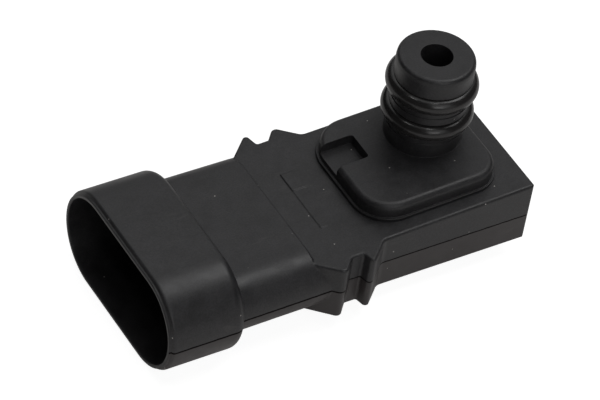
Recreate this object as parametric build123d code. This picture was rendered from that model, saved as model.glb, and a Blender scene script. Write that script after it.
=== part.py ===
from build123d import *
import os
from math import tan, radians

os.makedirs("parts", exist_ok=True)

# Pressure sensor for an engine's intake manifold, in millimetres.
# It is drawn with x growing from the mouth of the connector socket towards the pressure
# port, y = 0 on the long middle line and z = 0 close to the underside of the body.
# Every piece is then moved so that the origin is the middle of the underside of its box.

# Housing, outside
mouth_x = -0.4               # mouth of the socket
end_x = 60.43                # end wall, at the parting plane
parting_z = 4.35             # height of the mould's parting plane and of the socket's middle
body_under_z = -0.15         # underside of the body
front_height = 8.5           # height of the body's top at the lugs
rear_height = 10.05          # height of the body's top at the end wall
body_width = 23.24           # at the parting plane
upper_draft = 0.6            # degrees, of the walls above the parting plane
lower_draft = 0.2            # degrees, of the walls below it
parting_step = 0.05          # the lower half is this much smaller all round
body_corner = 0.5            # chamfer of the upright corners at the end wall
top_round = 0.4              # rounding of the body's top edges
field_x = 28.4               # two level fields rise here from the sloping top
field_edges = (-5.75, 2.15, 5.65)
field_rises = (0.08, 0.15)

# Connector collar and the narrower sleeve behind it
collar_back_x = 11.7
collar_width = 30.55
collar_height = 15.5
collar_wall = 0.9
collar_back_round = 1.5
lip_length = 0.35            # the lip round the mouth stands this far in front of the collar
lip_wall = 0.5
rim_round = 0.5              # rounding of the collar's edge behind the lip
sleeve_end_x = 24.4          # where the sleeve meets the lugs
sleeve_width = 27.45         # behind the collar
sleeve_narrowing = 0.3       # how much less wide it is at the lugs
sleeve_height = 9.5
sleeve_wall = 1.2
sleeve_end_round = 0.35
neck_length = 3.2            # below the body's top the sleeve runs on this far in the lugs
neck_inset = 0.04
hollow_round = 1.5
socket_depth = 20.8

# Lugs: each side has a wide tooth and a narrow one with a groove between them
lug_front_x = 23.7           # hidden in the sleeve
lug_middle_x = 29.77         # middle between the slopes at both ends of the lugs
lug_half_length = 4.55       # at the grooves' floor
slope_angle = 42.3           # degrees, of the slopes at both ends
groove_rise = 1.0            # the grooves' floor stands this far out from the body's wall
groove_turn_x = 30.0         # the far groove is the near one turned half round about here
groove_x0, groove_x1 = -0.42, 1.38
wide_back_angle = 47.7       # degrees, of the wide tooth's side of the groove
narrow_face_angle = 76.5     # degrees, of the narrow tooth's side of the groove
wide_tip_round = 0.9
narrow_tip_round = 0.62
groove_round = 0.3
slope_blend = 1.5            # blend from the lugs' slopes into the body's walls
lug_drop = 0.15              # the lugs' underside lies this much below the body's
lug_drop_end = 35.0          # and ends here

# Port cover: pad, notch and spigot
pad_x0, pad_x1 = 34.5, 56.8
pad_y0, pad_y1 = -9.35, 10.23
pad_height = 2.8
pad_front_corner = 5.5
pad_rear_corner = 4.6
pad_foot = 0.35              # the foot stands proud of the pad's wall
pad_foot_height = 0.5
pad_top_round = 0.9
notch_x1 = 40.0
notch_y0, notch_y1 = 1.25, 6.05
notch_depth = 1.6
notch_corner = 0.5
tongue_depth = 0.9
tongue_wall = 0.9
tongue_gap = 0.1

spigot_x, spigot_y = 49.65, 2.69
spigot_top_z = 26.73
spigot_base_radius = 5.67
port_radius = 2.32
head_radius = 5.7
head_straight = 2.4
head_top_radius = 5.58
head_round = 0.7
spigot_edge = 0.15
band_length = 0.94           # a slightly thinner band under each ring's groove
band_step = 0.12
land_length = 1.24           # below that band, down to the lower ring's groove
ring_section = 2.62
ring_seat_radius = 4.05
ring_seat_gap = 0.02
ring_side_gap = 0.03         # above a ring
groove_room = 0.1            # below a ring
upper_ring_z = 21.98

# Sensor chamber in the body, closed by the port cover
chamber_x0, chamber_x1 = 40.7, 54.3
chamber_width = 14.8
chamber_floor_z = 2.0
chamber_corner = 1.0
seal_inset = 0.5             # from the chamber's edge to the seal's groove
seal_width = 0.8
seal_depth = 0.6
ledge_length = 2.1
chamber_gap = 0.15           # between the board and the chamber's walls

# Terminals
terminal_pitch = 5.0
terminal_tip_x = 7.7
terminal_thickness = 0.8
blade_width = 1.5
anchor_width = 2.4
anchor_x0, anchor_x1 = 23.0, 37.0
terminal_end_gap = 0.3       # from a terminal's end to the edge of the ledge
tip_chamfer = 0.35
sealant_length = 0.7
sealant_height = 1.4

# Board and what is on it
board_thickness = 0.8
adhesive_thickness = 0.2
adhesive_inset = 0.4
die_size = 2.0
die_thickness = 0.4
die_base_thickness = 0.9
die_adhesive_thickness = 0.1
gel_ring_outer = 3.2
gel_ring_inner = 2.6
gel_ring_height = 2.2
gel_level = 1.95
chip_length, chip_width, chip_thickness = 3.2, 2.6, 0.5
chip_wall_gap = 1.95         # from the chip to the chamber's side wall
capacitor_size = (0.9, 1.8, 0.9)
resistor_size = (0.8, 1.5, 0.45)
solder_length = 0.3
solder_share = 0.6           # solder's height over its piece's height
pad_thickness = 0.1
pad_length, pad_width = 1.1, 1.5
pad_edge_gap = 0.25
lead_wire = 0.3
fine_wire = 0.1
wire_rise = 0.8
fine_wire_rise = 0.35
wire_bend = 1.5              # radius of a wire's bends over its thickness
lead_inset = 0.5             # from a terminal's end to its wire
fine_inset = 0.2             # from a die's or chip's edge to its wires
die_wire_run = 1.0
chip_wire_run = 0.8
die_wire_shifts = (-0.5, 0.5)
chip_wire_shifts = (-0.9, 0.0, 0.9)
front_row = 2.65             # middle of the front row, from the board's front edge
rear_row = 0.95              # middle of the rear row, from the board's rear edge
front_capacitors = (0.69, 0.22, -0.76)   # places along the row, as shares of half the board
front_resistors = (-0.3,)
rear_capacitors = (-0.74,)
rear_resistors = (-0.33,)

# Worked out from the sizes above
far = 80.0
top_slope = (rear_height - front_height) / (end_x - sleeve_end_x)
collar_length = collar_back_x - mouth_x
collar_bottom_z = parting_z - collar_height / 2
groove_reach = body_width / 2 + groove_rise   # from the middle line to the grooves' floor
ledge_x1 = chamber_x0 + ledge_length
terminal_top_z = parting_z + terminal_thickness / 2
terminal_under_z = parting_z - terminal_thickness / 2
terminal_end_x = ledge_x1 - terminal_end_gap
board_under_z = chamber_floor_z + adhesive_thickness
board_top_z = board_under_z + board_thickness
board_x0 = ledge_x1 + chamber_gap
board_x1 = chamber_x1 - chamber_gap
board_width = chamber_width - 2 * chamber_gap
chip_y = chip_wall_gap + (chip_width - chamber_width) / 2
front_row_x = board_x0 + front_row
rear_row_x = board_x1 - rear_row
space_above = ring_section / 2 + ring_side_gap
space_below = ring_section / 2 + groove_room
lower_ring_z = upper_ring_z - space_below - band_length - land_length - space_above
terminal_ys = [terminal_pitch * n for n in (-1, 0, 1)]


def body_top(x):
    """Height of the body's sloping top at x."""
    return rear_height + top_slope * (x - end_x)


def sloped_block(low, high):
    """A block between two planes parallel to the body's top, each an offset from it."""
    x0, x1 = -far, far
    corners = [
        (x0, body_top(x0) + low),
        (x1, body_top(x1) + low),
        (x1, body_top(x1) + high),
        (x0, body_top(x0) + high),
    ]
    return extrude(Plane.XZ * Polygon(*corners, align=None), amount=far, both=True)


def box_between(x0, x1, y0, y1, z0, z1):
    """A box from its lowest to its highest corner."""
    return Pos(x0, y0, z0) * Box(x1 - x0, y1 - y0, z1 - z0, align=(Align.MIN,) * 3)


def rounded_outline(corners):
    """A flat outline from rows of x, y and corner radius."""
    points = [(x, y) for x, y, radius in corners]
    radii = [radius for x, y, radius in corners]
    return make_face(FilletPolyline(*points, radius=radii, close=True).edges())


def rounded_plate(x0, x1, y0, y1, front_radius, rear_radius):
    """A flat rectangle with one radius at its front corners and one at its rear."""
    return rounded_outline([
        (x0, y0, front_radius),
        (x1, y0, rear_radius),
        (x1, y1, rear_radius),
        (x0, y1, front_radius),
    ])


def upright(outline, z0, z1):
    """An outline raised from one height to another."""
    return Pos(0, 0, z0) * extrude(outline, amount=z1 - z0)


def oval(x, width, height):
    """A section with fully rounded sides, across the socket at x."""
    return Plane.YZ.offset(x) * Pos(0, parting_z) * SlotOverall(width, height)


def peak(x0, y0, angle0, x1, y1, angle1):
    """Where a line that rises from one point meets a line that rises back from another."""
    rise0, rise1 = tan(radians(angle0)), tan(radians(angle1))
    x = (y1 - y0 + rise0 * x0 + rise1 * x1) / (rise0 + rise1)
    return x, y0 + rise0 * (x - x0)


def lug_side(side):
    """Edge of the lugs on the near side (1) or the far side (-1), in half-turned places:
    rows of x, reach and radius from the wide tooth to the narrow one."""
    middle = side * (lug_middle_x - groove_turn_x)
    start, stop = middle - lug_half_length, middle + lug_half_length
    wide_x, wide_y = peak(start, groove_reach, slope_angle,
                          groove_x0, groove_reach, wide_back_angle)
    narrow_x, narrow_y = peak(groove_x1, groove_reach, narrow_face_angle,
                              stop, groove_reach, slope_angle)
    return [
        (wide_x, wide_y, wide_tip_round),
        (groove_x0, groove_reach, groove_round),
        (groove_x1, groove_reach, groove_round),
        (narrow_x, narrow_y, narrow_tip_round),
    ]


def body_outline():
    """Outline of the lugs and the body, seen from above."""
    half = body_width / 2
    run = groove_rise / tan(radians(slope_angle))
    blend_x = lug_middle_x + lug_half_length + run
    front = lug_middle_x - lug_half_length - lug_front_x
    front_reach = groove_reach - front * tan(radians(slope_angle))
    near = [(groove_turn_x + x, -reach, r) for x, reach, r in lug_side(1)]
    distant = [(groove_turn_x - x, reach, r) for x, reach, r in lug_side(-1)]
    return rounded_outline(
        [(lug_front_x, -front_reach, 0)]
        + near
        + [(blend_x, -half, slope_blend), (end_x, -half, 0)]
        + [(end_x, half, 0), (blend_x, half, slope_blend)]
        + distant
        + [(lug_front_x, front_reach, 0)]
    )


def drafted(block, angle):
    """A block whose upright walls lean inwards above the parting plane, or below it if minus."""
    walls = [face for face in block.faces() if abs(face.normal_at().Z) < 0.5]
    return draft(walls, Plane.XY.offset(parting_z), angle)


def level_fields():
    """The fields between the lugs that rise level from the body's sloping top."""
    fields = Part()
    for y0, y1, rise in zip(field_edges, field_edges[1:], field_rises):
        fields += box_between(field_x, field_x + rise / top_slope, y0, y1,
                              parting_z, body_top(field_x) + rise)
    return fields


def body_block():
    """Body and lugs, drafted both ways from the parting plane, with the sloping top."""
    outline = body_outline()
    upper = drafted(Pos(0, 0, parting_z) * extrude(outline, amount=rear_height), upper_draft)
    upper -= sloped_block(0, far)
    upper = fillet(upper.faces().sort_by(Axis.Z)[-1].edges(), top_round)
    smaller = offset(outline, -parting_step, kind=Kind.INTERSECTION)
    under_z = body_under_z - lug_drop
    deep = parting_z - under_z
    lower = drafted(Pos(0, 0, parting_z) * extrude(smaller, amount=-deep), -lower_draft)
    lower -= box_between(lug_drop_end, far, -far, far, -far, body_under_z)
    block = upper + lower + level_fields()
    for side in (-1, 1):
        corner = Pos(end_x, side * body_width / 2, parting_z) * Rot(0, 0, 45)
        width = body_corner * 2 ** 0.5
        block -= corner * Box(width, width, far)
    return block


def socket_shell():
    """Collar, lip and sleeve, with the socket's hollow still to be cut."""
    collar = extrude(oval(mouth_x + lip_length, collar_width, collar_height),
                     amount=collar_length - lip_length)
    collar = fillet(collar.edges().group_by(Axis.X)[-1], collar_back_round)
    collar = fillet(collar.edges().group_by(Axis.X)[0], rim_round)
    less = 2 * (collar_wall - lip_wall)
    lip = extrude(oval(mouth_x, collar_width - less, collar_height - less),
                  amount=collar_length - collar_back_round)
    sleeve = loft([
        oval(collar_back_x - collar_back_round, sleeve_width, sleeve_height),
        oval(sleeve_end_x, sleeve_width - sleeve_narrowing, sleeve_height),
    ], ruled=True)
    sleeve = fillet(sleeve.edges().group_by(Axis.X)[-1], sleeve_end_round)
    less = sleeve_narrowing + neck_inset
    neck = extrude(oval(sleeve_end_x - sleeve_wall, sleeve_width - less,
                        sleeve_height - neck_inset), amount=sleeve_wall + neck_length)
    neck &= sloped_block(-far, 0)
    neck -= box_between(sleeve_end_x, far, -far, far, -far, body_under_z - lug_drop)
    return collar + lip + sleeve + neck


def socket_hollow():
    """The hollow of the connector socket: a wide mouth and a narrower end."""
    wide = oval(mouth_x, collar_width - 2 * collar_wall, collar_height - 2 * collar_wall)
    narrow = oval(mouth_x, sleeve_width - sleeve_narrowing - 2 * sleeve_wall,
                  sleeve_height - 2 * sleeve_wall)
    mouth_depth = collar_length - collar_wall
    mouth = extrude(wide, amount=mouth_depth)
    mouth = fillet(mouth.edges().group_by(Axis.X)[-1], hollow_round)
    return mouth + extrude(narrow, amount=socket_depth)


def chamber_plate(grow):
    """Outline of the sensor chamber, larger by grow on every side."""
    half = chamber_width / 2 + grow
    radius = chamber_corner + grow
    return rounded_plate(chamber_x0 - grow, chamber_x1 + grow, -half, half, radius, radius)


def seal_ring():
    """The bead between housing and port cover, which fills the housing's groove."""
    outer = upright(chamber_plate(seal_inset + seal_width), 0, far)
    inner = upright(chamber_plate(seal_inset), 0, far)
    return (outer - inner) & sloped_block(-seal_depth, 0)


def chamber():
    """The hollow for the sensor's board, with the ledge that carries the terminals' ends."""
    hollow = upright(chamber_plate(0), chamber_floor_z, far)
    half = chamber_width / 2
    return hollow - box_between(chamber_x0, ledge_x1, -half, half, body_under_z,
                                terminal_under_z)


def terminal(y):
    """One blade from the socket to the ledge, with a wider part moulded into the housing."""
    def bar(x0, x1, width):
        return box_between(x0, x1, y - width / 2, y + width / 2,
                           terminal_under_z, terminal_top_z)

    blade = bar(terminal_tip_x, terminal_end_x, blade_width)
    blade = chamfer(blade.edges().group_by(Axis.X)[0], tip_chamfer)
    return blade + bar(anchor_x0, anchor_x1, anchor_width)


def housing():
    """The black moulding: socket, sleeve, lugs and body, with the chamber open at the top."""
    part = socket_shell() + body_block()
    part -= socket_hollow()
    part -= chamber()
    part -= seal_ring()
    for y in terminal_ys:
        part -= terminal(y)
    return part


def spigot_profile():
    """Half section of the spigot, from its axis outwards, with two ring grooves."""
    low = body_top(spigot_x) + pad_height / 2
    upper, lower = upper_ring_z, lower_ring_z
    head_z = upper + space_above
    straight_z = head_z + head_straight
    edge = spigot_edge
    points = [(0, low), (spigot_base_radius, low)]
    radii = [0, 0]
    grooves = [
        (lower, spigot_base_radius, head_radius),
        (upper, head_radius, head_radius),
    ]
    for z, radius_below, radius_above in grooves:
        points += [
            (radius_below, z - space_below - band_length),
            (radius_below - band_step, z - space_below - band_length),
            (radius_below - band_step, z - space_below),
            (ring_seat_radius, z - space_below),
            (ring_seat_radius, z + space_above),
            (radius_above, z + space_above),
        ]
        radii += [0, 0, edge, edge, edge, edge]
    points += [(head_radius, straight_z), (head_top_radius, spigot_top_z), (0, spigot_top_z)]
    radii += [0, head_round, 0]
    return rounded_outline([(x, z, r) for (x, z), r in zip(points, radii)])


def spigot():
    """The round port that enters the manifold, turned about its axis."""
    turned = revolve(Plane.XZ * spigot_profile(), Axis.Z)
    return Pos(spigot_x, spigot_y, 0) * turned


def port_bore():
    """The pressure hole through spigot and pad."""
    return Pos(spigot_x, spigot_y, 0) * Cylinder(port_radius, far)


def pad():
    """The raised pad with its foot, its rounded top edge and the open notch."""
    foot = rounded_plate(pad_x0, pad_x1, pad_y0, pad_y1, pad_front_corner, pad_rear_corner)
    wall = rounded_plate(pad_x0 + pad_foot, pad_x1 - pad_foot, pad_y0 + pad_foot,
                         pad_y1 - pad_foot, pad_front_corner - pad_foot,
                         pad_rear_corner - pad_foot)
    raised = upright(wall, 0, far) & sloped_block(0, pad_height)
    raised = fillet(raised.faces().sort_by(Axis.Z)[-1].edges(), pad_top_round)
    base = upright(foot, 0, far) & sloped_block(0, pad_foot_height)
    notch = rounded_outline([
        (pad_x0 - pad_front_corner, notch_y0, 0),
        (notch_x1, notch_y0, notch_corner),
        (notch_x1, notch_y1, notch_corner),
        (pad_x0 - pad_front_corner, notch_y1, 0),
    ])
    cut = upright(notch, 0, far) & sloped_block(pad_height - notch_depth, far)
    return raised + base - cut


def cover_tongue():
    """The rim under the port cover that centres it in the chamber."""
    ring = upright(chamber_plate(-tongue_gap), 0, far)
    ring -= upright(chamber_plate(-tongue_gap - tongue_wall), 0, far)
    return ring & sloped_block(-tongue_depth, 0)


def port_cover():
    """Pad, spigot and tongue in one moulding, with the pressure hole."""
    cover = pad() + spigot()
    cover += cover_tongue()
    return cover - port_bore()


def o_ring(z):
    """A rubber ring in the spigot's groove at height z."""
    radius = ring_section / 2
    ring = Torus(ring_seat_radius + ring_seat_gap + radius, radius)
    return Pos(spigot_x, spigot_y, z) * ring


def block_on(z, x, y, size):
    """A block that stands on height z, centred at x and y."""
    return Pos(x, y, z) * Box(*size, align=(Align.CENTER, Align.CENTER, Align.MIN))


def wire(start, end, section, rise):
    """A bonded wire: up from one flat end, across, and down to the other."""
    (x0, y0, z0), (x1, y1, z1) = start, end
    top = max(z0, z1) + rise
    path = FilletPolyline((x0, y0, z0), (x0, y0, top), (x1, y1, top), (x1, y1, z1),
                          radius=section * wire_bend)
    return sweep(Plane((x0, y0, z0)) * Circle(section / 2), path=path)


def joined(pieces):
    """Separate solids kept in one node."""
    return Compound(children=[piece for part in pieces for piece in part.solids()])


def board():
    """The ceramic circuit board, with the chamber's corner radius at its rear corners."""
    half = board_width / 2
    outline = rounded_plate(board_x0, board_x1, -half, half, 0, chamber_corner)
    return upright(outline, board_under_z, board_top_z)


def board_adhesive():
    """The layer that holds the board on the chamber's floor."""
    half = board_width / 2 - adhesive_inset
    return box_between(board_x0 + adhesive_inset, board_x1 - adhesive_inset,
                       -half, half, chamber_floor_z, board_under_z)


def die_stack():
    """Adhesive, glass base and pressure die under the port, from the board upwards."""
    layers = []
    z = board_top_z
    for thickness in (die_adhesive_thickness, die_base_thickness, die_thickness):
        layers.append(block_on(z, spigot_x, spigot_y, (die_size, die_size, thickness)))
        z += thickness
    return layers


def chip_stack():
    """Adhesive and signal chip beside the pressure die."""
    adhesive = block_on(board_top_z, spigot_x, chip_y, (chip_length, chip_width, pad_thickness))
    chip = block_on(board_top_z + pad_thickness, spigot_x, chip_y,
                    (chip_length, chip_width, chip_thickness))
    return adhesive, chip


def small_parts(size, front_shares, rear_shares):
    """Chip components with solder at both ends: two lists of solids."""
    width, across, height = size
    bodies, solder = [], []
    places = [(front_row_x, share) for share in front_shares]
    places += [(rear_row_x, share) for share in rear_shares]
    for x, share in places:
        y = share * board_width / 2
        bodies.append(block_on(board_top_z, x, y, size))
        for side in (-1, 1):
            end_y = y + side * (across + solder_length) / 2
            solder.append(block_on(board_top_z, x, end_y,
                                   (width, solder_length, height * solder_share)))
    return bodies, solder


def lead_places():
    """Where each terminal's wire starts on the terminal and ends on the board."""
    pad_x = board_x0 + pad_edge_gap + pad_length / 2
    return [(terminal_end_x - lead_inset, pad_x, y) for y in terminal_ys]


def fine_wires(centre_y, half, reach, top_z, offsets):
    """Fine wires from a die's or chip's top to the board, on its two sides along x."""
    wires = []
    for side in (-1, 1):
        for shift in offsets:
            y = centre_y + shift
            wires.append(wire((spigot_x + side * half, y, top_z),
                              (spigot_x + side * reach, y, board_top_z),
                              fine_wire, fine_wire_rise))
    return wires


def gel_and_ring(inside):
    """The ring round the pressure die and the gel in it, with room for what the gel covers."""
    def drum(radius, height):
        align = (Align.CENTER, Align.CENTER, Align.MIN)
        return Pos(spigot_x, spigot_y, board_top_z) * Cylinder(radius, height, align=align)

    ring = drum(gel_ring_outer, gel_ring_height) - drum(gel_ring_inner, gel_ring_height)
    gel = drum(gel_ring_inner, gel_level)
    for piece in inside:
        gel -= piece
    return ring, gel


die_glue, die_base, die = die_stack()
chip_glue, chip = chip_stack()
die_top_z = board_top_z + die_adhesive_thickness + die_base_thickness + die_thickness
chip_top_z = board_top_z + pad_thickness + chip_thickness
die_wires = fine_wires(spigot_y, die_size / 2 - fine_inset, die_size / 2 + die_wire_run,
                       die_top_z, die_wire_shifts)
chip_wires = fine_wires(chip_y, chip_length / 2 - fine_inset, chip_length / 2 + chip_wire_run,
                        chip_top_z, chip_wire_shifts)
gel_ring, gel = gel_and_ring([die_glue, die_base, die] + die_wires)
capacitors, capacitor_solder = small_parts(capacitor_size, front_capacitors, rear_capacitors)
resistors, resistor_solder = small_parts(resistor_size, front_resistors, rear_resistors)
lead_pads = [block_on(board_top_z, pad_x, y, (pad_length, pad_width, pad_thickness))
             for _, pad_x, y in lead_places()]
lead_wires = [wire((x, y, terminal_top_z), (pad_x, y, board_top_z + pad_thickness),
                   lead_wire, wire_rise) for x, pad_x, y in lead_places()]
sealant_half = chamber_width / 2 - chamber_corner
sealant = box_between(chamber_x0, chamber_x0 + sealant_length, -sealant_half, sealant_half,
                      terminal_under_z, terminal_under_z + sealant_height)
terminals = [terminal(y) for y in terminal_ys]
for blade in terminals:
    sealant -= blade

nodes = {
    "housing": housing(),
    "port_cover": port_cover(),
    "cover_seal": seal_ring(),
    "o_ring_upper": o_ring(upper_ring_z),
    "o_ring_lower": o_ring(lower_ring_z),
    "terminal_supply": terminals[0],
    "terminal_signal": terminals[1],
    "terminal_ground": terminals[2],
    "terminal_sealant": sealant,
    "circuit_board": board(),
    "board_adhesive": board_adhesive(),
    "die_adhesive": die_glue,
    "die_base": die_base,
    "pressure_die": die,
    "chip_adhesive": chip_glue,
    "signal_chip": chip,
    "capacitors": joined(capacitors),
    "resistors": joined(resistors),
    "solder_joints": joined(capacitor_solder + resistor_solder),
    "contact_pads": joined(lead_pads),
    "lead_wires": joined(lead_wires),
    "die_wires": joined(die_wires),
    "chip_wires": joined(chip_wires),
    "gel_ring": gel_ring,
    "protective_gel": gel,
}

to_origin = Pos(-(mouth_x + end_x) / 2, 0, -collar_bottom_z)
for name, piece in nodes.items():
    export_step(to_origin * piece, f"parts/{name}.step")
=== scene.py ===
from math import radians

import bpy
from mathutils import Matrix, Vector


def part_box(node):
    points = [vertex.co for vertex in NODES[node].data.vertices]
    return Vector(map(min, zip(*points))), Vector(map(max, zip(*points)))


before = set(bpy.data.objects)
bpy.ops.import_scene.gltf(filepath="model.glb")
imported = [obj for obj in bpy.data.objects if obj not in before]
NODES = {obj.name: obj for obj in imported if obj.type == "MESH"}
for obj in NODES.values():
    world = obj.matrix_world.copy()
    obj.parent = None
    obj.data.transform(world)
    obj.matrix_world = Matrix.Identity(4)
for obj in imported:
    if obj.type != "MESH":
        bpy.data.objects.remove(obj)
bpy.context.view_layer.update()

bl_info = {
    "name": "Manifold pressure sensor",
    "version": (1, 0, 0),
    "blender": (4, 5, 0),
    "location": "3D View > Sidebar > Sensor",
    "description": "Finishes and stage of a manifold pressure sensor",
    "category": "Object",
}

MM = 0.001

# Patterns on the surfaces, in repeats per metre
CLOUD_SCALE = 140.0
MOTTLE_SCALE = 420.0
SCUFF_SCALE = 700.0
SCUFF_PATCH_SCALE = 160.0
WANDER_SCALE = 900.0

# Grain and scuffs
COARSE_SCALE = 0.22                      # the coarse grain's scale over the fine grain's
SCUFF_ANGLE = radians(24.0)
SCUFF_STRETCH = 0.25                     # a scuff's scale along itself over that across
RING_GRAIN = 0.35 * MM
INNER_GRAIN = 0.15 * MM
CLEAR_GRAIN = 0.4 * MM

# Moulded plastic
PALE_FACTOR, PALE_LIFT = 1.45, 0.002     # the paler clouds, from the plastic's own colour
DEEP_FACTOR = 0.7                        # and the darker ones
GRAIN_DEPTH = 0.03 * MM
ROUGHNESS_CLOUD = 0.05                   # how far the clouds move the roughness
ROUGHNESS_MOTTLE = 0.045
SCUFF_STRENGTH = 0.25
SCUFF_PALENESS = 0.25                    # a scuff's colour over the dust's

# Parting plane of the mould
# The dark line along this plane is painted shadow: it stands for the shade under the small step
# between the mould halves.
PARTING_SHADOW_COLOUR = (0.005, 0.0025, 0.0025)
PARTING_SHADOW_STRENGTH = 0.92
LINE_WANDER = 0.03 * MM
FADE_LOW, FADE_HIGH = -0.08 * MM, 0.02 * MM   # where the lower half's colour fades out
SOCKET_BACK = -19.0 * MM                 # the socket is open from the mouth to here


# Values that a user would change

class SensorSizes(bpy.types.PropertyGroup):
    """Sizes of the grain, marks and soft edges on the sensor's solids."""

    grain: bpy.props.FloatProperty(
        name="Plastic grain", description="Width of the grain on the moulded plastic",
        default=0.22 * MM, min=0.01 * MM, unit="LENGTH")
    # Width of the painted shadow line along the parting plane.
    parting_shadow_width: bpy.props.FloatProperty(
        name="Parting shadow width", description="Width of the thin line at the mould's parting plane",
        default=0.36 * MM, min=0.02 * MM, unit="LENGTH")
    edge_round: bpy.props.FloatProperty(
        name="Soft edge", description="How far the shading rounds off the moulded edges",
        default=0.4 * MM, min=0.0, unit="LENGTH")
    speck: bpy.props.FloatProperty(
        name="Dust speck", description="Largest width of a dust speck",
        default=0.2 * MM, min=0.02 * MM, unit="LENGTH")


class SensorColours(bpy.types.PropertyGroup):
    """Colours of the sensor's finishes."""

    plastic: bpy.props.FloatVectorProperty(
        name="Plastic", description="Colour of the black moulded plastic",
        default=(0.0190, 0.0185, 0.0200), min=0.0, max=1.0, size=3, subtype="COLOR")
    # Paler and warmer than the plastic: partly the lower mould half's own tone, partly painted
    # bounce light from the white floor below.
    lower_half_and_bounce: bpy.props.FloatVectorProperty(
        name="Lower half", description="Colour of the plastic below the parting plane",
        default=(0.034, 0.029, 0.029), min=0.0, max=1.0, size=3, subtype="COLOR")
    rubber: bpy.props.FloatVectorProperty(
        name="Rubber", description="Colour of the sealing rings",
        default=(0.016, 0.015, 0.015), min=0.0, max=1.0, size=3, subtype="COLOR")
    dust: bpy.props.FloatVectorProperty(
        name="Dust", description="Colour of the dust specks",
        default=(0.42, 0.40, 0.38), min=0.0, max=1.0, size=3, subtype="COLOR")


def sizes():
    return bpy.context.scene.sensor_sizes


def colours():
    return bpy.context.scene.sensor_colours


# Shader node groups

def new_group(name, inputs, outputs):
    """An empty shader group with its sockets, and its input and output nodes."""
    group = bpy.data.node_groups.new(name, "ShaderNodeTree")
    for socket, kind, value in inputs:
        made = group.interface.new_socket(socket, in_out="INPUT", socket_type=kind)
        made.default_value = value
    for socket, kind in outputs:
        group.interface.new_socket(socket, in_out="OUTPUT", socket_type=kind)
    return group, group.nodes.new("NodeGroupInput"), group.nodes.new("NodeGroupOutput")


def noise(nodes, links, vector, scale, detail=3.0, roughness=0.5):
    """A noise texture on the given coordinates; scale is a number or a socket."""
    texture = nodes.new("ShaderNodeTexNoise")
    texture.inputs["Detail"].default_value = detail
    texture.inputs["Roughness"].default_value = roughness
    links.new(vector, texture.inputs["Vector"])
    if isinstance(scale, bpy.types.NodeSocket):
        links.new(scale, texture.inputs["Scale"])
    else:
        texture.inputs["Scale"].default_value = scale
    return texture.outputs["Fac"]


def remap(nodes, links, value, low, high, to_low, to_high):
    """A value moved from one range to another, clamped."""
    node = nodes.new("ShaderNodeMapRange")
    links.new(value, node.inputs["Value"])
    for name, number in zip(("From Min", "From Max", "To Min", "To Max"),
                            (low, high, to_low, to_high)):
        node.inputs[name].default_value = number
    return node.outputs["Result"]


def maths(nodes, links, operation, first, second=0.0):
    """One maths step; each side is a number or a socket."""
    node = nodes.new("ShaderNodeMath")
    node.operation = operation
    for index, side in enumerate((first, second)):
        if isinstance(side, bpy.types.NodeSocket):
            links.new(side, node.inputs[index])
        else:
            node.inputs[index].default_value = side
    return node.outputs[0]


def blend(nodes, links, mask, first, second, mode="MIX"):
    """Two colours mixed by a mask; each colour is a socket or three numbers."""
    node = nodes.new("ShaderNodeMix")
    node.data_type = "RGBA"
    node.blend_type = mode
    if isinstance(mask, bpy.types.NodeSocket):
        links.new(mask, node.inputs[0])
    else:
        node.inputs[0].default_value = mask
    for index, side in ((6, first), (7, second)):
        if isinstance(side, bpy.types.NodeSocket):
            links.new(side, node.inputs[index])
        else:
            node.inputs[index].default_value = (*side, 1.0)
    return node.outputs[2]


def grain_group():
    """Fine moulded grain: a height for bump and a slow, faint variation of colour."""
    group, entry, exit_node = new_group(
        "Moulded grain",
        [("Width", "NodeSocketFloat", 0.2 * MM), ("Coarse", "NodeSocketFloat", 0.4)],
        [("Height", "NodeSocketFloat"), ("Cloud", "NodeSocketFloat"),
         ("Fine", "NodeSocketFloat")])
    nodes, links = group.nodes, group.links
    place = nodes.new("ShaderNodeTexCoord").outputs["Object"]
    scale = maths(nodes, links, "DIVIDE", 1.0, entry.outputs["Width"])
    fine = noise(nodes, links, place, scale, 2.0)
    coarse_scale = maths(nodes, links, "MULTIPLY", scale, COARSE_SCALE)
    coarse = noise(nodes, links, place, coarse_scale, 3.0)
    part = maths(nodes, links, "MULTIPLY", coarse, entry.outputs["Coarse"])
    height = maths(nodes, links, "ADD", fine, part)
    links.new(height, exit_node.inputs["Height"])
    links.new(noise(nodes, links, place, CLOUD_SCALE, 4.0, 0.6), exit_node.inputs["Cloud"])
    links.new(fine, exit_node.inputs["Fine"])
    return group


def wear_group():
    """Handling marks: a mottling a few millimetres wide and fine pale scuffs."""
    group, entry, exit_node = new_group(
        "Handling wear",
        [("Mottle scale", "NodeSocketFloat", MOTTLE_SCALE),
         ("Scuff scale", "NodeSocketFloat", SCUFF_SCALE)],
        [("Mottle", "NodeSocketFloat"), ("Scuff", "NodeSocketFloat")])
    nodes, links = group.nodes, group.links
    place = nodes.new("ShaderNodeTexCoord").outputs["Object"]
    mottle = noise(nodes, links, place, entry.outputs["Mottle scale"], 5.0, 0.62)
    links.new(remap(nodes, links, mottle, 0.32, 0.68, 0.0, 1.0), exit_node.inputs["Mottle"])
    stretched = nodes.new("ShaderNodeMapping")
    stretched.inputs["Rotation"].default_value = (0.0, 0.0, SCUFF_ANGLE)
    stretched.inputs["Scale"].default_value = (SCUFF_STRETCH, 1.0, 1.0)
    links.new(place, stretched.inputs["Vector"])
    scuff = noise(nodes, links, stretched.outputs["Vector"], entry.outputs["Scuff scale"],
                  4.0, 0.6)
    scuff = remap(nodes, links, scuff, 0.62, 0.74, 0.0, 1.0)
    patches = noise(nodes, links, place, SCUFF_PATCH_SCALE, 2.0)
    patches = remap(nodes, links, patches, 0.45, 0.62, 0.0, 1.0)
    links.new(maths(nodes, links, "MULTIPLY", scuff, patches), exit_node.inputs["Scuff"])
    return group


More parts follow.
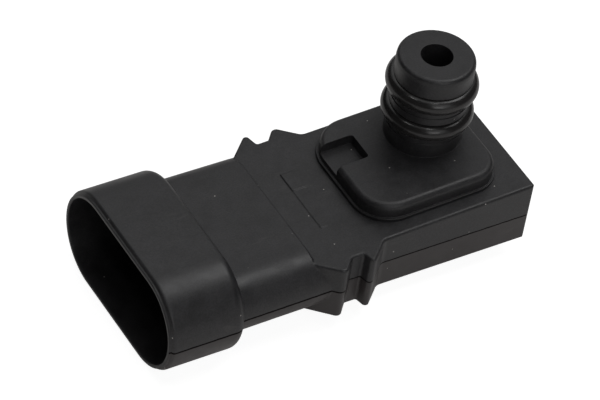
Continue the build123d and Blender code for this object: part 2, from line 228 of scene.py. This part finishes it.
def dust_group():
    """Sparse pale specks: a mask that is 1 on a speck."""
    group, entry, exit_node = new_group(
        "Dust specks",
        [("Width", "NodeSocketFloat", 0.2 * MM), ("Cell", "NodeSocketFloat", 2.2 * MM),
         ("Share", "NodeSocketFloat", 0.12)],
        [("Mask", "NodeSocketFloat")])
    nodes, links = group.nodes, group.links
    place = nodes.new("ShaderNodeTexCoord").outputs["Object"]
    cells = nodes.new("ShaderNodeTexVoronoi")
    cells.feature = "F1"
    links.new(place, cells.inputs["Vector"])
    links.new(maths(nodes, links, "DIVIDE", 1.0, entry.outputs["Cell"]), cells.inputs["Scale"])
    reach = maths(nodes, links, "DIVIDE", entry.outputs["Width"], entry.outputs["Cell"])
    near = maths(nodes, links, "LESS_THAN", cells.outputs["Distance"],
                 maths(nodes, links, "MULTIPLY", reach, 0.5))
    split = nodes.new("ShaderNodeSeparateColor")
    links.new(cells.outputs["Color"], split.inputs[0])
    chosen = maths(nodes, links, "LESS_THAN", split.outputs[0], entry.outputs["Share"])
    links.new(maths(nodes, links, "MULTIPLY", near, chosen), exit_node.inputs["Mask"])
    return group


def parting_group():
    """Masks of the half below the mould's parting plane, of the painted shadow line along it and
    of the socket's inside.

    The socket is an oval about that plane, as high as twice the plane's height."""
    group, entry, exit_node = new_group(
        "Parting plane",
        [("Height", "NodeSocketFloat", 7.5 * MM), ("Line", "NodeSocketFloat", 0.1 * MM),
         ("Half width", "NodeSocketFloat", 15.0 * MM), ("Wall", "NodeSocketFloat", 0.5 * MM)],
        [("Below", "NodeSocketFloat"), ("Line", "NodeSocketFloat"),
         ("Inside", "NodeSocketFloat")])
    nodes, links = group.nodes, group.links
    place = nodes.new("ShaderNodeTexCoord").outputs["Object"]
    split = nodes.new("ShaderNodeSeparateXYZ")
    links.new(place, split.inputs[0])
    wander = remap(nodes, links, noise(nodes, links, place, WANDER_SCALE), 0.3, 0.7,
                   -LINE_WANDER, LINE_WANDER)
    rise = maths(nodes, links, "SUBTRACT", split.outputs["Z"], entry.outputs["Height"])
    rise = maths(nodes, links, "ADD", rise, wander)
    below = remap(nodes, links, rise, FADE_LOW, FADE_HIGH, 1.0, 0.0)
    links.new(below, exit_node.inputs["Below"])
    reach = maths(nodes, links, "DIVIDE", maths(nodes, links, "ABSOLUTE", rise),
                  entry.outputs["Line"])
    links.new(remap(nodes, links, reach, 0.25, 0.6, 1.0, 0.0), exit_node.inputs["Line"])
    straight = maths(nodes, links, "SUBTRACT", entry.outputs["Half width"],
                     entry.outputs["Height"])
    side = maths(nodes, links, "SUBTRACT",
                 maths(nodes, links, "ABSOLUTE", split.outputs["Y"]), straight)
    side = maths(nodes, links, "MAXIMUM", side, 0.0)
    squares = maths(nodes, links, "ADD", maths(nodes, links, "MULTIPLY", side, side),
                    maths(nodes, links, "MULTIPLY", rise, rise))
    depth = maths(nodes, links, "SUBTRACT", entry.outputs["Height"],
                  maths(nodes, links, "SQRT", squares))
    in_oval = maths(nodes, links, "GREATER_THAN", depth, entry.outputs["Wall"])
    in_socket = maths(nodes, links, "LESS_THAN", split.outputs["X"], SOCKET_BACK)
    links.new(maths(nodes, links, "MULTIPLY", in_oval, in_socket), exit_node.inputs["Inside"])
    return group


def bumped(nodes, links, height, strength, distance, base=None):
    """A normal with bumps from a height, on the surface's own normal or on a given one."""
    bumps = nodes.new("ShaderNodeBump")
    bumps.inputs["Strength"].default_value = strength
    bumps.inputs["Distance"].default_value = distance
    links.new(height, bumps.inputs["Height"])
    if base:
        links.new(base, bumps.inputs["Normal"])
    return bumps.outputs["Normal"]


def soft_edges(nodes, radius):
    """A normal that rounds off the edges in the shading."""
    soft = nodes.new("ShaderNodeBevel")
    soft.samples = 8
    soft.inputs["Radius"].default_value = radius
    return soft.outputs["Normal"]


def clouded(nodes, links, grain, low, high):
    """A value that drifts between two numbers with the grain's clouding."""
    return remap(nodes, links, grain.outputs["Cloud"], 0.3, 0.7, low, high)


GROUP_MAKERS = {"Moulded grain": grain_group, "Handling wear": wear_group,
                "Dust specks": dust_group, "Parting plane": parting_group}


def use_group(material, group, values=()):
    """A shader group placed in a material, with its own values.

    The group is made the first time that a material asks for it."""
    node = material.node_tree.nodes.new("ShaderNodeGroup")
    node.node_tree = bpy.data.node_groups.get(group) or GROUP_MAKERS[group]()
    for name, value in dict(values).items():
        node.inputs[name].default_value = value
    return node


def new_material(name):
    """An empty material, its shader, nodes and links."""
    material = bpy.data.materials.new(name)
    material.use_nodes = True
    nodes, links = material.node_tree.nodes, material.node_tree.links
    return material, nodes["Principled BSDF"], nodes, links


def moulded_plastic(name, colour, roughness, bump, dust_share, edge, two_halves=False):
    """Black moulded plastic with fine grain, faint clouding and a few dust specks.

    With two halves, the part below the mould's parting plane is paler, partly its own tone and
    partly painted bounce light from the floor, and a dark line of painted shadow, for the shade
    under the small step there, runs along that plane."""
    material, shader, nodes, links = new_material(name)
    grain = use_group(material, "Moulded grain", {"Width": sizes().grain})
    dust = use_group(material, "Dust specks", {"Width": sizes().speck, "Share": dust_share})
    wear = use_group(material, "Handling wear")
    pale = tuple(min(1.0, c * PALE_FACTOR + PALE_LIFT) for c in colour)
    deep = tuple(c * DEEP_FACTOR for c in colour)
    cloud = clouded(nodes, links, grain, 0.0, 1.0)
    cloud = blend(nodes, links, 0.6, cloud, wear.outputs["Mottle"])
    base = blend(nodes, links, cloud, deep, pale)
    fine = remap(nodes, links, grain.outputs["Fine"], 0.35, 0.65, 0.75, 1.25)
    base = blend(nodes, links, 1.0, base, fine, "MULTIPLY")
    if two_halves:
        # The terminals lie in the middle of the parting plane
        low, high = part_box("terminal_signal")
        plane = use_group(material, "Parting plane", {
            "Height": (low[2] + high[2]) / 2, "Line": sizes().parting_shadow_width,
            "Half width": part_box("housing")[1][1]})
        outside = maths(nodes, links, "SUBTRACT", 1.0, plane.outputs["Inside"])
        below = maths(nodes, links, "MULTIPLY", plane.outputs["Below"], outside)
        # Paler lower half: partly its own tone, partly painted bounce light from the floor; kept
        # off the socket's inside.
        base = blend(nodes, links, below, base, tuple(colours().lower_half_and_bounce))
    scuffed = maths(nodes, links, "MULTIPLY", wear.outputs["Scuff"], SCUFF_STRENGTH)
    scuff_colour = tuple(c * SCUFF_PALENESS for c in colours().dust)
    base = blend(nodes, links, scuffed, base, scuff_colour)
    base = blend(nodes, links, dust.outputs["Mask"], base, tuple(colours().dust))
    rough = clouded(nodes, links, grain, roughness - ROUGHNESS_CLOUD,
                    roughness + ROUGHNESS_CLOUD)
    rough = maths(nodes, links, "ADD", rough, remap(
        nodes, links, wear.outputs["Mottle"], 0.0, 1.0, -ROUGHNESS_MOTTLE, ROUGHNESS_MOTTLE))
    if two_halves:
        # Painted shadow along the parting plane: dark, rough and metallic so that it hardly
        # reflects, standing for the shade under the small step there.
        line = maths(nodes, links, "MULTIPLY", plane.outputs["Line"], outside)
        line = maths(nodes, links, "MULTIPLY", line, PARTING_SHADOW_STRENGTH)
        base = blend(nodes, links, line, base, PARTING_SHADOW_COLOUR)
        rough = maths(nodes, links, "MAXIMUM", rough, line)
        links.new(line, shader.inputs["Metallic"])
    links.new(base, shader.inputs["Base Color"])
    links.new(rough, shader.inputs["Roughness"])
    shader.inputs["Specular IOR Level"].default_value = 0.5
    normal = bumped(nodes, links, grain.outputs["Height"], bump, GRAIN_DEPTH,
                    soft_edges(nodes, edge))
    links.new(normal, shader.inputs["Normal"])
    return material


def ring_rubber():
    """Smooth satin rubber with a soft bloom."""
    material, shader, nodes, links = new_material("ring_rubber")
    grain = use_group(material, "Moulded grain", {"Width": RING_GRAIN})
    colour = tuple(colours().rubber)
    pale = tuple(c * 1.7 for c in colour)
    cloud = remap(nodes, links, grain.outputs["Cloud"], 0.35, 0.7, 0.0, 1.0)
    links.new(blend(nodes, links, cloud, colour, pale), shader.inputs["Base Color"])
    links.new(clouded(nodes, links, grain, 0.19, 0.26), shader.inputs["Roughness"])
    links.new(bumped(nodes, links, grain.outputs["Height"], 0.12, 0.02 * MM),
              shader.inputs["Normal"])
    return material


def plain_finish(name, colour, roughness, metallic=0.0, spread=0.2):
    """A finish for the small inner pieces: one colour with fine grain and variation."""
    material, shader, nodes, links = new_material(name)
    grain = use_group(material, "Moulded grain", {"Width": INNER_GRAIN})
    pale = tuple(min(1.0, c * (1 + spread)) for c in colour)
    deep = tuple(c * (1 - spread) for c in colour)
    fine = remap(nodes, links, grain.outputs["Fine"], 0.3, 0.7, 0.0, 1.0)
    links.new(blend(nodes, links, fine, deep, pale), shader.inputs["Base Color"])
    links.new(clouded(nodes, links, grain, roughness * 0.8, min(1.0, roughness * 1.25)),
              shader.inputs["Roughness"])
    shader.inputs["Metallic"].default_value = metallic
    links.new(bumped(nodes, links, grain.outputs["Height"], 0.15, 0.01 * MM),
              shader.inputs["Normal"])
    return material


def clear_finish(name, colour, roughness, alpha):
    """Clear gel or glass, partly see-through, with a faint clouding."""
    material, shader, nodes, links = new_material(name)
    grain = use_group(material, "Moulded grain", {"Width": CLEAR_GRAIN})
    deep = tuple(c * 0.92 for c in colour)
    links.new(blend(nodes, links, clouded(nodes, links, grain, 0.0, 1.0), deep, colour),
              shader.inputs["Base Color"])
    links.new(clouded(nodes, links, grain, roughness, roughness + 0.05),
              shader.inputs["Roughness"])
    shader.inputs["Alpha"].default_value = alpha
    return material


def dress(node, material):
    """A CAD node's own slots take this material."""
    piece = NODES[node]
    if not piece.material_slots:
        piece.data.materials.append(material)
    for slot in piece.material_slots:
        slot.material = material


# Operators

class SENSOR_OT_housing(bpy.types.Operator):
    """Finish the housing"""

    bl_idname = "sensor.housing"
    bl_label = "Housing"

    def execute(self, context):
        dress("housing", moulded_plastic(
            "housing_plastic", colours().plastic, roughness=0.42, bump=0.3, dust_share=0.45,
            edge=sizes().edge_round, two_halves=True))
        return {"FINISHED"}


class SENSOR_OT_port_cover(bpy.types.Operator):
    """Finish the port cover with its spigot"""

    bl_idname = "sensor.port_cover"
    bl_label = "Port cover"

    def execute(self, context):
        dress("port_cover", moulded_plastic(
            "cover_plastic", colours().plastic, roughness=0.44, bump=0.25, dust_share=0.4,
            edge=sizes().edge_round / 3))
        return {"FINISHED"}


class SENSOR_OT_rings(bpy.types.Operator):
    """Finish the two sealing rings"""

    bl_idname = "sensor.rings"
    bl_label = "Sealing rings"

    def execute(self, context):
        rubber = ring_rubber()
        for node in ("o_ring_upper", "o_ring_lower"):
            dress(node, rubber)
        return {"FINISHED"}


class SENSOR_OT_inside(bpy.types.Operator):
    """Finish the terminals and what the chamber holds"""

    bl_idname = "sensor.inside"
    bl_label = "Terminals and inner pieces"

    def execute(self, context):
        tin = plain_finish("terminal_tin", (0.62, 0.61, 0.58), 0.32, metallic=1.0)
        seal = plain_finish("sealing_compound", (0.09, 0.09, 0.10), 0.45)
        glue = plain_finish("adhesive", (0.5, 0.5, 0.47), 0.5)
        ceramic = plain_finish("board_ceramic", (0.78, 0.78, 0.73), 0.35, spread=0.05)
        silicon = plain_finish("silicon", (0.13, 0.13, 0.17), 0.18, metallic=0.4)
        capacitor = plain_finish("capacitor_ceramic", (0.40, 0.28, 0.16), 0.4)
        resistor = plain_finish("resistor_ceramic", (0.04, 0.04, 0.05), 0.35)
        solder = plain_finish("solder", (0.6, 0.6, 0.6), 0.35, metallic=1.0)
        gold = plain_finish("contact_gold", (0.83, 0.62, 0.27), 0.25, metallic=1.0)
        wire = plain_finish("bond_wire", (0.8, 0.8, 0.8), 0.25, metallic=1.0)
        ring = plain_finish("ring_plastic", (0.05, 0.05, 0.05), 0.45)
        glass = clear_finish("die_glass", (0.75, 0.82, 0.80), 0.08, alpha=0.6)
        gel = clear_finish("gel", (0.86, 0.88, 0.90), 0.10, alpha=0.35)
        finishes = {
            "terminal_supply": tin, "terminal_signal": tin, "terminal_ground": tin,
            "terminal_sealant": seal, "cover_seal": seal, "circuit_board": ceramic,
            "board_adhesive": glue, "die_adhesive": glue, "chip_adhesive": glue,
            "die_base": glass, "pressure_die": silicon, "signal_chip": silicon,
            "capacitors": capacitor, "resistors": resistor, "solder_joints": solder,
            "contact_pads": gold, "lead_wires": wire, "die_wires": wire,
            "chip_wires": wire, "gel_ring": ring, "protective_gel": gel,
        }
        for node, material in finishes.items():
            dress(node, material)
        return {"FINISHED"}


# Camera, in metres and in the frame of the solids
CAMERA_PLACE = (-0.26049, -0.34139, 0.42647)
CAMERA_RIGHT = (0.857287, -0.499506, 0.124714)
CAMERA_UP = (0.276800, 0.651437, 0.706408)
CAMERA_LENS = 255.37
CAMERA_SHIFT = (-0.00355, 0.01788)
CAMERA_SENSOR_WIDTH = 36.0     # in millimetres, as the lens

# Floor and world
FLOOR_HALF = 3.0
FLOOR_GAP = 0.02 * MM          # the floor lies this much below the sensor
FLOOR_GLOW = 0.92              # the light that only the camera sees
FLOOR_SHADE = 0.4              # the grey that takes the shadow
FLOOR_BOUNCE = 0.14            # the light that the floor sends up to the sensor
WORLD_LIGHT = 0.02

# Soft lamps: name, direction from the sensor, width in metres and power in watts
LAMP_DISTANCE = 0.8
LAMPS = (
    ("overhead", (0.0, 0.0, 1.0), 0.45, 0.48),
    ("near", (0.0, -0.7, 0.7), 0.45, 0.5),
    ("far", (0.0, 0.7, 0.7), 0.45, 0.26),
    ("far_right", (0.43, 0.57, 0.7), 1.0, 1.34),
    ("shoulder", (0.43, 0.0, 0.9), 0.36, 1.2),
    ("low_near", (0.2, -0.94, 0.3), 0.4, 0.15),
    ("front", (-0.15, -0.82, 0.42), 0.3, 0.45),
    ("ring_left", (-0.37, 0.07, 0.93), 0.06, 0.16),
    ("ring_right", (0.0, -0.29, 0.955), 0.06, 0.16),
)


def flat_light(name, direction, width, power):
    """A square soft lamp that faces the sensor."""
    lamp = bpy.data.lights.new(name, "AREA")
    lamp.shape = "SQUARE"
    lamp.size = width
    lamp.energy = power
    holder = bpy.data.objects.new(name, lamp)
    place = Vector(direction).normalized() * LAMP_DISTANCE
    holder.location = place
    holder.rotation_euler = (-place).to_track_quat("-Z", "Y").to_euler()
    bpy.context.scene.collection.objects.link(holder)


def floor_finish():
    """White floor: the camera sees it bright, with the shadow; other rays see matt white.

    From below it is clear, so that the sensor's underside can be seen."""
    material, shader, nodes, links = new_material("floor_white")
    shader.inputs["Base Color"].default_value = (0.78, 0.77, 0.76, 1.0)
    shader.inputs["Roughness"].default_value = 0.9
    shader.inputs["Specular IOR Level"].default_value = 0.2
    shader.inputs["Emission Color"].default_value = (1.0, 0.97, 0.95, 1.0)
    shader.inputs["Emission Strength"].default_value = FLOOR_BOUNCE
    seen = nodes.new("ShaderNodeBsdfDiffuse")
    seen.inputs["Color"].default_value = (FLOOR_SHADE, FLOOR_SHADE, FLOOR_SHADE, 1.0)
    glow = nodes.new("ShaderNodeEmission")
    glow.inputs["Strength"].default_value = FLOOR_GLOW
    both = nodes.new("ShaderNodeAddShader")
    links.new(seen.outputs[0], both.inputs[0])
    links.new(glow.outputs[0], both.inputs[1])
    mix = nodes.new("ShaderNodeMixShader")
    links.new(nodes.new("ShaderNodeLightPath").outputs["Is Camera Ray"], mix.inputs[0])
    links.new(shader.outputs[0], mix.inputs[1])
    links.new(both.outputs[0], mix.inputs[2])
    clear = nodes.new("ShaderNodeBsdfTransparent")
    from_under = nodes.new("ShaderNodeMixShader")
    links.new(nodes.new("ShaderNodeNewGeometry").outputs["Backfacing"], from_under.inputs[0])
    links.new(mix.outputs[0], from_under.inputs[1])
    links.new(clear.outputs[0], from_under.inputs[2])
    links.new(from_under.outputs[0], nodes["Material Output"].inputs["Surface"])
    return material


class SENSOR_OT_stage(bpy.types.Operator):
    """Floor, soft lights, world and camera"""

    bl_idname = "sensor.stage"
    bl_label = "Stage"

    def execute(self, context):
        scene = context.scene
        mesh = bpy.data.meshes.new("floor")
        corners = [(x * FLOOR_HALF, y * FLOOR_HALF, -FLOOR_GAP)
                   for x, y in ((-1, -1), (1, -1), (1, 1), (-1, 1))]
        mesh.from_pydata(corners, [], [(0, 1, 2, 3)])
        floor = bpy.data.objects.new("floor", mesh)
        scene.collection.objects.link(floor)
        mesh.materials.append(floor_finish())

        world = bpy.data.worlds.new("studio")
        scene.world = world
        world.use_nodes = True
        background = world.node_tree.nodes["Background"]
        background.inputs["Color"].default_value = (1.0, 1.0, 1.0, 1.0)
        background.inputs["Strength"].default_value = WORLD_LIGHT

        for lamp in LAMPS:
            flat_light(*lamp)

        lens = bpy.data.cameras.new("camera")
        lens.lens = CAMERA_LENS
        lens.sensor_width = CAMERA_SENSOR_WIDTH
        lens.shift_x, lens.shift_y = CAMERA_SHIFT
        lens.clip_start = 0.01
        camera = bpy.data.objects.new("camera", lens)
        right, up = Vector(CAMERA_RIGHT).normalized(), Vector(CAMERA_UP).normalized()
        back = right.cross(up)
        turn = Matrix((right, up, back)).transposed().to_4x4()
        camera.matrix_world = Matrix.Translation(CAMERA_PLACE) @ turn
        scene.collection.objects.link(camera)
        scene.camera = camera
        scene.view_settings.view_transform = "Standard"
        return {"FINISHED"}


class SENSOR_PT_panel(bpy.types.Panel):
    """Lists the sensor's steps"""

    bl_idname = "SENSOR_PT_panel"
    bl_label = "Pressure sensor"
    bl_space_type = "VIEW_3D"
    bl_region_type = "UI"
    bl_category = "Sensor"

    def draw(self, context):
        for values in (context.scene.sensor_sizes, context.scene.sensor_colours):
            for name in values.__annotations__:
                self.layout.prop(values, name)
        for operator in OPERATORS:
            self.layout.operator(operator.bl_idname)


OPERATORS = (SENSOR_OT_housing, SENSOR_OT_port_cover, SENSOR_OT_rings, SENSOR_OT_inside,
             SENSOR_OT_stage)
CLASSES = (SensorSizes, SensorColours) + OPERATORS + (SENSOR_PT_panel,)


def register():
    for item in CLASSES:
        bpy.utils.register_class(item)
    bpy.types.Scene.sensor_sizes = bpy.props.PointerProperty(type=SensorSizes)
    bpy.types.Scene.sensor_colours = bpy.props.PointerProperty(type=SensorColours)


def unregister():
    del bpy.types.Scene.sensor_colours
    del bpy.types.Scene.sensor_sizes
    for item in reversed(CLASSES):
        bpy.utils.unregister_class(item)


def main():
    register()
    bpy.ops.sensor.housing()
    bpy.ops.sensor.port_cover()
    bpy.ops.sensor.rings()
    bpy.ops.sensor.inside()
    bpy.ops.sensor.stage()


if __name__ == "__main__":
    main()
